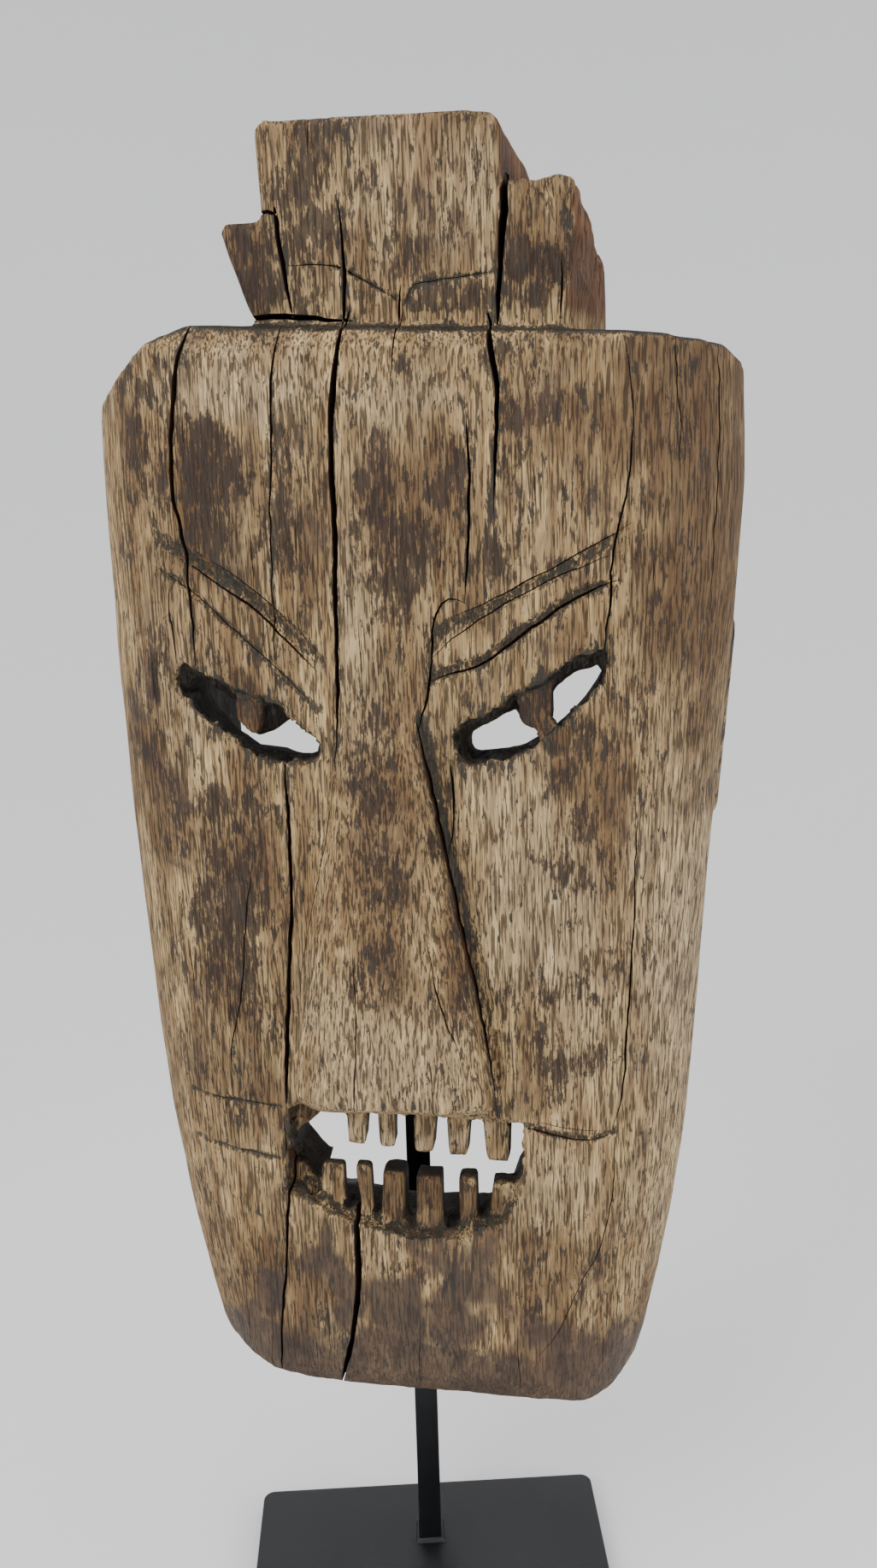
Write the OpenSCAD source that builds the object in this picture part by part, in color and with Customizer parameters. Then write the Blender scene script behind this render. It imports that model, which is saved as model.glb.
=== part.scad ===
// A hand-carved wooden face mask on a black steel display stand.
// +Z is up and the face looks along -Y. The origin is on the table, under the axis of the post.

/* [Mask] */
// Distance from the post's axis to the flat of the face
face_depth = 50; // [46:1:56]
// Width of the rounded corner between the face and each side
corner_w = 34; // [26:1:38]
// Depth of the same corner, front to back
corner_d = 33; // [26:1:38]
// How far the face bulges forward at its middle
face_bow = 2; // [0:0.5:4]
// Distance from the post's axis to the rear rim of the side walls
rim_depth = 38; // [30:1:44]
// Height of the lowest point of the chin above the table
chin_z = 102.5; // [96:0.5:108]
// Height of the top of the head above the table, at its left shoulder
crown_z = 426; // [420:1:430]

/* [Hollow] */
// Thickness of the wood behind the face
face_wall = 20; // [16:1:22]
// Thickness of the side walls
side_wall = 17; // [12:1:20]
// Height of the floor of the hollow, which is level with the lower lip
hollow_floor_z = 166; // [160:1:168]
// Height of the roof of the hollow
hollow_roof_z = 404; // [396:1:408]

/* [Nose] */
// Sideways place of the nose's middle
nose_x = 2.6; // [1:0.2:6]
// Width of the nose at its lower edge
nose_w = 61; // [54:1:64]
// Width of the nose at the bridge, between the eyes
bridge_w = 24; // [20:1:28]
// How far the lower edge of the nose stands out of the face
nose_out = 16; // [12:1:20]
// Height of the lower edge of the nose
nose_z = 212; // [208:1:215]
// Height of the bridge, where the nose runs into the face
bridge_z = 330; // [320:1:335]

/* [Comb] */
// Distance from the post's axis to the front of the comb
comb_front = 42; // [38:1:46]
// Distance from the post's axis to the back of the comb
comb_back = 4; // [0:1:10]
// Height of the comb's tall middle block
comb_top_z = 475; // [465:1:480]
// Width of the open split between the middle block and the right step
comb_split = 2; // [1.8:0.1:4]

/* [Stand] */
// Width of the base plate
plate_w = 126; // [110:1:140]
// Depth of the base plate
plate_d = 100; // [90:1:130]
// Thickness of the base plate
plate_t = 5; // [4:0.5:8]
// Distance from the post's axis to the rear edge of the plate
post_inset = 24; // [18:1:30]
// Thickness of the felt under the plate
felt_t = 1.5; // [1:0.5:3]
// Side of the square post
post_w = 8; // [6:1:9]
// Height of the post's shoulder above the table
shoulder_z = 352; // [345:1:356]
// Turn of the stand under the mask, anticlockwise from above
stand_turn = 11.3; // [0:0.1:15]

/* [Hanger] */
// Diameter of the pin on top of the post
pin_d = 6; // [5:0.5:6]
// Length of the pin above the shoulder
pin_up = 32; // [26:1:34]
// Radial clearance of the washer and the sleeve on the pin
fit_gap = 0.05; // [0.03:0.01:0.09]
// Outer diameter of the sleeve
sleeve_d = 11; // [10:0.5:12]
// Width of the hanger plate, across the mask
hanger_w = 70; // [60:1:76]
// Height of the hanger plate
hanger_h = 22; // [18:1:24]
// Thickness of the hanger plate
hanger_t = 3; // [2:0.5:4]
// Distance between the two screws
screw_span = 54; // [44:1:58]

/* [Hidden] */
$fn = 48;

// Reach of the head's left and right sides at a few heights, hand-carved and so not quite equal.
left_side = [[96, -59], [118, -65], [155, -72], [196, -77], [288, -81.6], [374, -82.4], [430, -80.4]];
right_side = [[96, 71], [118, 77], [155, 84], [196, 88.5], [288, 94.5], [374, 100.5], [430, 98.5]];

// Outline of the head from the front: only its top and bottom edges cut into the block.
crown_line = [[-100, crown_z - 32], [-72, crown_z - 15], [-58, crown_z - 4], [-47, crown_z],
              [67, crown_z - 6], [92, crown_z - 9], [99, crown_z - 14], [112, crown_z - 40]];
chin_line = [[88, chin_z + 28], [77, chin_z + 9], [66, chin_z + 2], [36, chin_z + 0.6], [9, chin_z],
             [-18, chin_z + 3], [-38, chin_z + 7], [-56, chin_z + 12], [-70, chin_z + 25]];

// Outline of the head from the side, round at the chin and the crown, with the rim swept in
// towards the post below the cheeks.
chin_back = 7.5;
cheek_z = 228;
side_line = [[-face_depth - 6, crown_z - 60], [-face_depth - 6, chin_z + 70],
             [-face_depth - 3, chin_z + 40], [-face_depth + 0.5, chin_z + 11],
             [-face_depth + 3, chin_z + 4.5], [-face_depth + 8, chin_z], [-face_depth + 14, chin_z - 4],
             [-chin_back, chin_z - 4],
             [-chin_back, hollow_floor_z + 3], [rim_depth * 0.45, cheek_z - 32],
             [rim_depth, cheek_z], [rim_depth, crown_z - 26], [rim_depth - 10, crown_z - 6],
             [rim_depth - 20, crown_z + 4], [-face_depth + 8, crown_z + 4],
             [-face_depth + 3, crown_z - 2], [-face_depth, crown_z - 8]];

// Eye slits, each drawn around its own middle: the cut in the face, then the smaller hole behind.
right_eye = [44.6, 324.5];
left_eye = [-35.2, 324.5];
right_slit = [[-19.5, -14.7], [-21.7, -8.5], [-20.8, -5.8], [-8.5, 0.4], [-4.4, 4.5], [1.8, 6.5],
              [12.6, 13.9], [18.2, 15.3], [19, 13], [18.2, 8.5], [13.7, 3.1], [5.8, -4.8],
              [-3.5, -11.9], [-12.2, -14.3]];
left_slit = [[-17.5, 12], [-18.7, 10.6], [-19.5, 6.2], [-14.1, 0.1], [-7.9, -5.2], [-2.7, -8.6],
             [0, -11.6], [5.2, -13.7], [11.6, -14.9], [19.6, -13.4], [20.6, -11.4], [19.9, -9.9],
             [11.7, -2.5], [9.2, 0.7], [4, 2.8], [-2.9, 4.9], [-12.3, 9.1]];
right_throat = [[-18.7, -15.2], [-18.9, -10], [-17.4, -7.1], [-6.3, -1.5], [5.1, 4.3], [11.2, 9.2],
                [18.4, 10.7], [18, 8], [12.9, -0.2], [3.3, -8.8], [0.9, -10.4], [-5.3, -13.8]];
left_throat = [[-17, 8], [-12, 6], [-4, 0.5], [1.4, -8.8], [6.9, -6.8], [11.1, -3.9], [19.7, -11.2],
               [19.7, -12.5], [14.6, -16], [10, -16.2], [7, -15], [-2.3, -14], [-9, -9], [-17, -1]];
slit_depth = 4.5;
// Pupils: pegs left hanging in the slits.
right_pupil = [[-4.5, 9], [-4.4, -2.7], [-3.5, -4.4], [0.5, -6.6], [4, -5], [4.9, -2.6], [4.6, 9]];
left_pupil = [[-3.4, 9], [-3.4, -3.3], [-0.2, -7], [2, -7.8], [3.8, -3.8], [4.5, 0], [4.3, 9]];
pupil_d = 13;

// Mouth, as a hole in the face, and its peg teeth: [middle, width at the gum, length].
mouth_hole = [[-28.8, 204], [-29, 197], [-31.5, 176.5], [-23.7, 173], [-13.5, 168.6], [-1.8, 165.2],
              [10.8, 163.6], [21.7, 165.8], [34, 170.3], [37.7, 177.5], [39.5, 187], [40.4, 199.5],
              [27.8, 202.9], [15, 204.2], [-17.8, 204.5]];
// The hole narrows at its left corner once it is this far in.
lip_depth = 6.5;
mouth_throat = [[-19, 204.5], [-19.7, 200], [-26.9, 193.4], [-30.2, 190.5], [-30.2, 184.6],
                [-24.8, 177], [-20.5, 175], [-20.2, 170.5], [-9, 167.5],
                [6, 164.5], [22, 164.5], [34, 171], [39, 182], [40, 202], [15, 204]];
// Behind the teeth the lip slopes down to these heights at the rear: left, middle, right.
lip_slope = [[-27, 158], [12, 150], [38, 154]];
// Teeth: [middle at the gum, width at the gum, length, depth, middle at the tip].
gum_top_z = 203;
gum_low_z = 164;
upper_tip = 0.72;
lower_tip = 0.86;
upper_teeth = [[-9.7, 7.4, 12.3, 8, -10.2], [-0.6, 6, 13, 7, -0.8], [11.1, 7.3, 14, 9, 10.3],
               [21.1, 7.6, 14.4, 8, 20.8], [32.3, 9.4, 15.8, 9, 32.5]];
lower_teeth = [[-18.7, 8.6, 19.7, 5, -18], [-8.4, 5.2, 19.4, 5, -8.4], [0.2, 7.6, 17.8, 9, 1],
               [11.5, 9, 17.2, 8, 11.6], [23.5, 6.2, 17.6, 7, 23.3], [31.9, 7, 16.4, 8, 34.2]];

// Ears: low slabs on the sides of the head.
ear_h = 54;
ear_w = 20;
ear_t = 9;
ear_out = 1.6;
ear_z = 287;
ear_y = -1;

plate_top = felt_t + plate_t;
washer_t = 1.6;
seat_gap = 0.1;
sleeve_z = shoulder_z + washer_t + 2 * seat_gap;
sleeve_h = 34;
pin_set = 18;
pad_t = 1;
hanger_z = shoulder_z + 19;
inner_face = -face_depth + face_wall;
pad_back = inner_face + pad_t;
plate_back = pad_back + hanger_t;
screw_r = 2;
screw_len = 15;

// One closed ring of the head's outline at height z. The walls step in by side_in and front_in,
// and the ring runs back to back_y.
function ring(z, side_in, front_in, back_y) =
    let (xl = lookup(z, left_side) + side_in,
         xr = lookup(z, right_side) - side_in,
         y0 = -face_depth + front_in,
         cw = corner_w - side_in / 2,
         cd = corner_d - side_in / 2)
    concat(
        [[xl, back_y, z], [xl, (back_y + y0 + cd) / 2, z]],
        [for (k = [0 : 7]) [xl + cw * (1 - cos(90 * k / 7)), y0 + cd * (1 - sin(90 * k / 7)), z]],
        [for (k = [1 : 4]) let (u = k / 5)
            [xl + cw + (xr - xl - 2 * cw) * u, y0 - face_bow * 4 * u * (1 - u), z]],
        [for (k = [7 : -1 : 0]) [xr - cw * (1 - cos(90 * k / 7)), y0 + cd * (1 - sin(90 * k / 7)), z]],
        [[xr, (back_y + y0 + cd) / 2, z], [xr, back_y, z]]);

// Skins a list of rings with the same number of points into one closed solid.
module loft(rings) {
    n = len(rings[0]);
    last = len(rings) - 1;
    polyhedron(
        points = [for (r = rings) for (p = r) p],
        faces = concat(
            [[for (i = [0 : n - 1]) i]],
            [[for (i = [n - 1 : -1 : 0]) last * n + i]],
            [for (r = [0 : last - 1]) for (i = [0 : n - 1]) let (j = (i + 1) % n)
                each [[r * n + i, (r + 1) * n + i, (r + 1) * n + j],
                      [r * n + i, (r + 1) * n + j, r * n + j]]]));
}

// An outline in X and Z, made solid from y = front to y = back.
module slab(outline, front, back) {
    translate([0, back, 0])
        rotate([90, 0, 0])
            linear_extrude(height = back - front)
                polygon(outline);
}

module head_block() {
    steps = 14;
    low = chin_z - 6;
    high = crown_z + 3;
    intersection() {
        loft([for (k = [0 : steps]) ring(low + (high - low) * k / steps, 0, 0, rim_depth + 2)]);
        slab(concat(crown_line, chin_line), -face_depth - 30, rim_depth + 30);
        rotate([90, 0, 90])
            translate([0, 0, -120])
                linear_extrude(height = 240)
                    polygon(side_line);
    }
}

// The hollow narrows at its floor and roof.
module hollow() {
    steps = 8;
    rise = hollow_roof_z - hollow_floor_z;
    loft([for (k = [0 : steps]) let (u = k / steps, pinch = pow(abs(2 * u - 1), 4))
        ring(hollow_floor_z + rise * u, side_wall + 14 * pinch, face_wall + 10 * pinch, rim_depth + 12)]);
}

// The flat seat chiselled for the hanger behind the forehead.
module hanger_seat() {
    play = 0.5;
    translate([-hanger_w / 2 - play, inner_face, hanger_z - hanger_h / 2 - play])
        cube([hanger_w + 2 * play, 20, hanger_h + 2 * play]);
}

module nose() {
    foot = -face_depth + 4;
    half = nose_w / 2;
    hull() {
        translate([nose_x, 0, nose_z])
            linear_extrude(height = 1)
                polygon([[-half, foot], [-half + 3, -face_depth - nose_out * 0.6],
                         [-half + 13, -face_depth - nose_out], [half - 13, -face_depth - nose_out],
                         [half - 3, -face_depth - nose_out * 0.6], [half, foot]]);
        translate([nose_x, 0, nose_z - 9])
            linear_extrude(height = 1)
                polygon([[-half, foot], [-half + 6, -face_depth - 1], [half - 6, -face_depth - 1],
                         [half, foot]]);
        translate([nose_x, 0, bridge_z - 1])
            linear_extrude(height = 1)
                polygon([[-bridge_w / 2, foot], [-bridge_w / 3, -face_depth - 2],
                         [bridge_w / 3, -face_depth - 2], [bridge_w / 2, foot]]);
    }
}

module eye_opening(centre, slit, throat) {
    slab([for (p = slit) centre + p], -face_depth - 12, -face_depth + slit_depth);
    slab([for (p = throat) centre + p], -face_depth + slit_depth - 0.5, -face_depth + face_wall + 12);
}

module pupil(centre, outline) {
    slab([for (p = outline) centre + p], -face_depth + 1, -face_depth + 1 + pupil_d);
}

// A peg tooth that starts at height z and runs up or down by its length.
module tooth(spec, z, way, tip) {
    half = spec[1] / 2;
    slab([[spec[0] - half, z - way * 3], [spec[0] + half, z - way * 3],
          [spec[4] + half * tip, z + way * spec[2]], [spec[4] - half * tip, z + way * spec[2]]],
         -face_depth + 3, -face_depth + 3 + spec[3]);
}

// The inner face of the lower lip, chiselled down towards the rear.
module lip_chamfer() {
    hull()
        for (p = lip_slope)
            slab([[p[0] - 3, p[1]], [p[0] + 3, p[1]], [p[0] + 3, 175], [p[0] - 3, 175]],
                 -chin_back - 0.5, 0);
    hull()
        for (p = lip_slope) {
            slab([[p[0] - 3, p[1]], [p[0] + 3, p[1]], [p[0] + 3, 175], [p[0] - 3, 175]],
                 -chin_back - 1, -chin_back);
            slab([[p[0] * 0.8 - 3, 171], [p[0] * 0.8 + 3, 171], [p[0] * 0.8 + 3, 175],
                  [p[0] * 0.8 - 3, 175]], -face_depth + 15, -face_depth + 16);
        }
}

module ear(sx) {
    x = sx > 0 ? lookup(ear_z + ear_h, right_side) : lookup(ear_z + ear_h, left_side);
    hull() {
        translate([x + sx * (ear_out - ear_t / 2 - 3.5), ear_y, ear_z])
            cube([ear_t, ear_w / 2, 4], center = true);
        translate([x + sx * (ear_out - ear_t / 2), ear_y, ear_z + ear_h])
            cube([ear_t, ear_w, 4], center = true);
    }
}

// One block of the comb: it widens and drops towards its back.
module comb_block(front_outline, back_outline) {
    hull() {
        slab(front_outline, -comb_front, -comb_front + 1);
        slab(back_outline, -comb_back - 1, comb_back);
    }
}

module comb() {
    foot = crown_z - 14;
    main_right = 35;
    main_left = -22.5;
    comb_block([[main_left, foot], [main_left, comb_top_z - 24], [-26, comb_top_z - 22],
                [-27, comb_top_z - 2], [-25, comb_top_z], [33.5, comb_top_z - 1.3], [36.5, comb_top_z - 4],
                [main_right + 1.8, comb_top_z - 16], [main_right, foot]],
               [[-26, foot], [-30, comb_top_z - 24], [-30, comb_top_z - 11], [-26, comb_top_z - 7],
                [37, comb_top_z - 7], [42.5, comb_top_z - 13], [43, foot]]);
    step_left = main_right + comb_split * 0.7;
    comb_block([[step_left, foot], [main_right + 1.8 + comb_split, comb_top_z - 17],
                [54.6, comb_top_z - 17], [55.7, comb_top_z - 19], [51.5, foot]],
               [[42, foot], [42, comb_top_z - 24], [56, comb_top_z - 28], [61, comb_top_z - 34],
                [62, foot]]);
    comb_block([[-29.5, comb_top_z - 47.5], [-37, comb_top_z - 26], [-36, comb_top_z - 24],
                [-23.3, comb_top_z - 24], [-22, comb_top_z - 47.5]],
               [[-34, comb_top_z - 47.5], [-42, comb_top_z - 32], [-41, comb_top_z - 30],
                [-26, comb_top_z - 30], [-25, comb_top_z - 47.5]]);
    translate([-30, -comb_front + 6, foot])
        cube([24, comb_front - 8, 18]);
}

module mask() {
    color("tan")
        difference() {
            union() {
                head_block();
                nose();
                ear(1);
                ear(-1);
                comb();
                intersection() {
                    union() {
                        pupil(right_eye, right_pupil);
                        pupil(left_eye, left_pupil);
                    }
                    head_block();
                }
            }
            difference() {
                union() {
                    hollow();
                    hanger_seat();
                    eye_opening(right_eye, right_slit, right_throat);
                    eye_opening(left_eye, left_slit, left_throat);
                    lip_chamfer();
                    slab(mouth_hole, -face_depth - 12, -face_depth + lip_depth);
                    slab(mouth_throat, -face_depth - 12, -face_depth + face_wall + 12);
                }
                pupil(right_eye, right_pupil);
                pupil(left_eye, left_pupil);
                for (t = upper_teeth)
                    tooth(t, gum_top_z, -1, upper_tip);
                for (t = lower_teeth)
                    tooth(t, gum_low_z, 1, lower_tip);
            }
        }
}

// Flat outline of the base plate, with rounded corners.
module plate_outline() {
    r = 4;
    for (x = [-1, 1])
        for (y = [post_inset - r, post_inset - plate_d + r])
            translate([x * (plate_w / 2 - r), y])
                circle(r = r);
    translate([-plate_w / 2, post_inset - plate_d + r])
        square([plate_w, plate_d - 2 * r]);
    translate([-plate_w / 2 + r, post_inset - plate_d])
        square([plate_w - 2 * r, plate_d]);
}

module base_plate() {
    color("dimgray")
        rotate([0, 0, stand_turn])
            translate([0, 0, felt_t])
                linear_extrude(height = plate_t)
                    plate_outline();
}

module base_felt() {
    color("black")
        rotate([0, 0, stand_turn])
            linear_extrude(height = felt_t)
                plate_outline();
}

module post() {
    color("black")
        rotate([0, 0, stand_turn])
            difference() {
                translate([-post_w / 2, -post_w / 2, plate_top])
                    cube([post_w, post_w, shoulder_z - plate_top]);
                translate([0, 0, shoulder_z - pin_set])
                    cylinder(d = pin_d, h = pin_set + 1);
            }
}

module foot_weld() {
    weld_w = post_w + 2.6;
    weld_h = 1.6;
    color("black")
        rotate([0, 0, stand_turn])
            translate([0, 0, plate_top])
                difference() {
                    linear_extrude(height = weld_h, scale = (post_w + 0.6) / weld_w)
                        square(weld_w, center = true);
                    translate([0, 0, weld_h / 2])
                        cube([post_w, post_w, 2 * weld_h], center = true);
                }
}

module post_pin() {
    color("silver")
        translate([0, 0, shoulder_z - pin_set])
            cylinder(d = pin_d, h = pin_set + pin_up);
}

module thrust_washer() {
    color("goldenrod")
        translate([0, 0, shoulder_z + seat_gap])
            difference() {
                cylinder(d = sleeve_d + 3, h = washer_t);
                translate([0, 0, -1])
                    cylinder(r = pin_d / 2 + fit_gap, h = washer_t + 2);
            }
}

module sleeve() {
    color("dimgray")
        translate([0, 0, sleeve_z])
            difference() {
                cylinder(d = sleeve_d, h = sleeve_h);
                translate([0, 0, -1])
                    cylinder(r = pin_d / 2 + fit_gap, h = sleeve_h - 1);
            }
}

// A flat bar from the sleeve to the plate; its back end is cut to the sleeve's round.
module hanger_arm() {
    arm_w = 8;
    arm_h = 16;
    color("dimgray")
        difference() {
            translate([-arm_w / 2, plate_back, hanger_z - arm_h / 2])
                cube([arm_w, -plate_back, arm_h]);
            translate([0, 0, hanger_z - arm_h])
                cylinder(d = sleeve_d, h = 2 * arm_h);
        }
}

// The places of the screws, seen from behind.
module at_screws() {
    for (x = [-1, 1])
        translate([x * screw_span / 2, 0, hanger_z])
            rotate([90, 0, 0])
                children();
}

module hanger_plate() {
    color("dimgray")
        difference() {
            translate([-hanger_w / 2, pad_back, hanger_z - hanger_h / 2])
                cube([hanger_w, hanger_t, hanger_h]);
            at_screws()
                translate([0, 0, -plate_back - 1])
                    cylinder(r = screw_r + 0.25, h = hanger_t + 2);
        }
}

module hanger_pad() {
    color("saddlebrown")
        difference() {
            translate([-hanger_w / 2, inner_face, hanger_z - hanger_h / 2])
                cube([hanger_w, pad_t, hanger_h]);
            at_screws()
                translate([0, 0, -pad_back - 1])
                    cylinder(r = screw_r + 0.25, h = pad_t + 2);
        }
}

module hanger_screws() {
    head_t = 2.4;
    color("silver")
        at_screws()
            translate([0, 0, -plate_back]) {
                cylinder(r = screw_r, h = screw_len);
                translate([0, 0, -head_t])
                    cylinder(r = 4, h = head_t);
            }
}

mask();
base_plate();
base_felt();
post();
foot_weld();
post_pin();
thrust_washer();
sleeve();
hanger_arm();
hanger_plate();
hanger_pad();
hanger_screws();
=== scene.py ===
"""A weathered wooden face mask on a black steel display stand.

The mask is carved further from its packed block: its edges are worn round, the brows and cheeks are
cut in, and drying cracks are sawn through the grain. The stand keeps its packed sizes and gets soft
edges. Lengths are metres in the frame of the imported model: +Z up, and the face looks along -Y. The
carving's own lists are in millimetres, because that is how a carver would mark them out.
"""

import math
import random

import bmesh
import bpy
import numpy as np
from mathutils import Matrix, Vector, noise
from mathutils.bvhtree import BVHTree


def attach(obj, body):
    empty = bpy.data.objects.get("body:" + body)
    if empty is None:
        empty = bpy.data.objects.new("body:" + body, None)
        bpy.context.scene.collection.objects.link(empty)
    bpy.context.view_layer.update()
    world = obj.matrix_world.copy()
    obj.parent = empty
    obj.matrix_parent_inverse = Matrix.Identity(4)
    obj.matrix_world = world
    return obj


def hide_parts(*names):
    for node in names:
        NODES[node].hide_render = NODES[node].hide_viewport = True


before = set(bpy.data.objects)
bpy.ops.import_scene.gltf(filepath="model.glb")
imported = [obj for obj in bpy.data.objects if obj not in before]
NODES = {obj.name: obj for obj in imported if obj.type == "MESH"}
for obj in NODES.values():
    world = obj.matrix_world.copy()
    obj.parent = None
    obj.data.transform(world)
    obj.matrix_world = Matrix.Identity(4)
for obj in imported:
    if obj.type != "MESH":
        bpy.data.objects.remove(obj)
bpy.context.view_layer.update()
MM = 0.001

# ---------------------------------------------------------------- settings

# Carving
CARVING_GRID = 1.15 * MM      # spacing of the points the mask is carved on
TRIANGLES_KEPT = 171_000      # after the hollow is thinned out
EDGE_WEAR = 9                 # rounds of smoothing that wear the edges
TOOTH_WEAR = 0.25             # share of that wear on the teeth and the eye pegs

# Places on the carving, in millimetres
FACE = -50                    # y of the flat of the face
COMB_FOOT = 427               # z where the comb stands on the crown
HOLLOW_AXIS = (8, 10)         # x and y of the line that the hollow faces
EYES_MIDDLE = 4.7             # x half-way between the eye pegs
PEG_SPREAD = 40               # from there to each eye peg

# Saw blades that open the cracks, in millimetres
BLADE_STEP = 2.5              # spacing of the rings along a blade
BLADE_LEAD = 3                # how far a blade starts in front of the wood
RAY_START = -0.2              # y, in metres, from where the wood's surface is looked for

# Brow cuts: points (x, z) in millimetres, half width and depth of the groove in millimetres.
BROW_CUTS = [
    ([(-60, 373), (-50, 367), (-40, 361), (-30, 354), (-20, 345), (-13, 338)], 2.6, 1.6),
    ([(-59, 364), (-49, 357), (-38, 347), (-25, 335), (-14, 324)], 1.2, 0.8),
    ([(69, 371), (56, 363), (44, 357), (30, 350), (22, 347), (17, 341), (16, 333)], 2.0, 1.2),
    ([(68, 359), (56, 355), (44, 347), (32, 338), (22, 335), (16, 332)], 1.9, 1.5),
]
# Cuts beside the mouth, and the groove down the right side of the nose.
CHEEK_CUTS = [
    ([(41, 202), (50, 199), (60, 198), (67, 200)], 1.3, 1.0),
    ([(-61, 206), (-48, 205), (-32, 204)], 1.0, 0.5),
    ([(-60, 190), (-45, 188), (-33, 187)], 1.0, 0.5),
    ([(-32, 176), (-24, 176), (-18, 170)], 1.0, 0.6),
]
NOSE_GROOVE = ([(14, 322), (20, 288), (26, 258), (31, 230), (33, 212)], 4.6, 2.6)
COMB_CUTS = [
    ([(-19, 439.5), (-10, 439.5), (-4, 438), (0, 436), (5, 433), (10, 430)], 0.9, 0.6),
    ([(11.5, 429), (13, 432.5), (16, 434), (25, 435), (35, 436)], 0.9, 0.6),
]
# Sharp knife lines in those cuts, in the form of the cracks below.
KNIFE_LINES = [
    ([(-52, 366), (-40, 358), (-30, 351), (-21, 342), (-14, 335)], (0.4, 0.9, 0.6), 2.6),
    ([(-46, 367), (-36, 361), (-26, 353), (-17, 344)], (0.3, 0.5, 0.3), 1.8),
    ([(-60, 364), (-49, 357), (-38, 347), (-25, 335), (-14, 324)], (0.3, 0.5, 0.3), 1.6),
    ([(70, 373), (56, 365), (44, 359), (30, 352), (22, 349)], (0.5, 0.6, 0.3), 1.8),
    ([(68, 366), (52, 360), (40, 354), (28, 347), (17, 338)], (0.3, 0.5, 0.5), 1.8),
    ([(67, 358.5), (56, 354), (44, 346), (32, 337.5), (22, 334), (15.5, 331.5)], (0.8, 1.1, 0.6), 2.8),
    ([(13, 321), (18.5, 291), (24, 262), (28.5, 238), (32, 216), (33.5, 205)], (1.4, 1.0, 0.45), 3.6),
    ([(40, 201.5), (50, 198.5), (60, 197.5), (67, 199.5)], (0.7, 0.7, 0.3), 2.0),
    ([(44, 203.5), (53, 201.5), (63, 200.5)], (0.3, 0.4, 0.2), 1.2),
    ([(-10.5, 306), (-13, 290), (-17.5, 272), (-21, 258), (-24, 240)], (0.4, 0.4, 0.2), 1.4),
    ([(-60, 206), (-46, 205), (-32, 204)], (0.2, 0.4, 0.4), 1.0),
    ([(-58, 190.5), (-45, 188.5), (-33, 187)], (0.2, 0.4, 0.3), 1.0),
    ([(-19, 439.5), (-10, 439.5), (-4, 438), (0, 436), (5, 433), (10, 430)], (0.5, 0.4, 0.3), 1.5),
    ([(11.5, 429), (13, 432.5), (16, 434), (25, 435), (35, 436)], (0.3, 0.4, 0.3), 1.3),
]

# Drying cracks: points (x, z), width at the start, middle and end, and depth, in millimetres.
CRACKS = [
    ([(-45, 427), (-48.5, 415), (-51, 400), (-52, 384), (-50, 369), (-49, 350), (-49, 335)],
     (1.5, 1.3, 0.5), 7),
    ([(-20.5, 427), (-23, 409), (-23.5, 395), (-25, 375), (-25.5, 355), (-26, 328)],
     (0.9, 0.6, 0.3), 4),
    ([(-3.5, 428), (-6, 412), (-7.5, 395), (-7.5, 375), (-8, 354), (-8.5, 330), (-10, 308)],
     (1.7, 1.7, 0.5), 12),
    ([(10.5, 427), (9, 413), (8.5, 406)], (0.6, 0.5, 0.2), 3),
    ([(33, 426), (34.5, 416), (36, 405), (35.2, 390), (34.5, 376)], (1.8, 1.3, 0.4), 8),
    ([(27.5, 404), (28.5, 390), (28, 370), (26.5, 353)], (0.4, 1.0, 0.6), 5),
    ([(27, 353), (22.5, 354.5), (19, 350), (17.5, 340), (16.5, 330), (13, 318)], (0.6, 0.8, 0.6), 4),
    ([(66.5, 422), (69.5, 408), (70, 395), (68.5, 380), (65.5, 366), (64.5, 352), (63, 340)],
     (0.3, 0.45, 0.9), 5),
    ([(91, 418), (92, 395), (91.5, 368), (90.5, 345)], (0.4, 0.35, 0.2), 3),
    ([(80, 420), (81, 405), (83, 392)], (0.4, 0.3, 0.2), 2),
    ([(73, 306), (72, 284), (71.5, 260), (70, 229), (69, 212), (66.5, 201)], (0.25, 0.6, 0.7), 4),
    ([(67, 198), (66.5, 180), (63, 162), (56.5, 148), (50, 132), (43, 122)], (0.5, 0.35, 0.3), 3),
    ([(-24.5, 313), (-24.5, 290), (-25, 267), (-27.5, 240), (-29.5, 215), (-30, 205)],
     (0.9, 1.2, 1.3), 9),
    ([(-31, 197), (-30.5, 180), (-32, 165), (-33.5, 148), (-36, 128), (-37.5, 106)],
     (0.9, 0.9, 0.7), 8),
    ([(-10.8, 181), (-10.4, 171), (-10, 155), (-11.5, 135), (-15, 119), (-19, 104)],
     (1.8, 2.1, 1.2), 12),
    ([(22, 311), (22.5, 295), (20.5, 283)], (0.7, 0.7, 0.4), 4),
    ([(-5.5, 262), (-5, 234), (-6, 208)], (0.2, 0.5, 0.4), 2.5),
    ([(16.5, 226), (17, 208)], (0.3, 0.4, 0.4), 2),
    ([(15, 262), (19, 243), (24, 228)], (0.3, 0.6, 0.3), 2.5),
    ([(-36, 280), (-39, 262), (-42, 240), (-46, 222), (-47, 205)], (0.5, 0.6, 0.4), 2.5),
    ([(-55, 360), (-55.5, 350), (-54.5, 337)], (0.3, 0.6, 0.4), 3),
]
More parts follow.
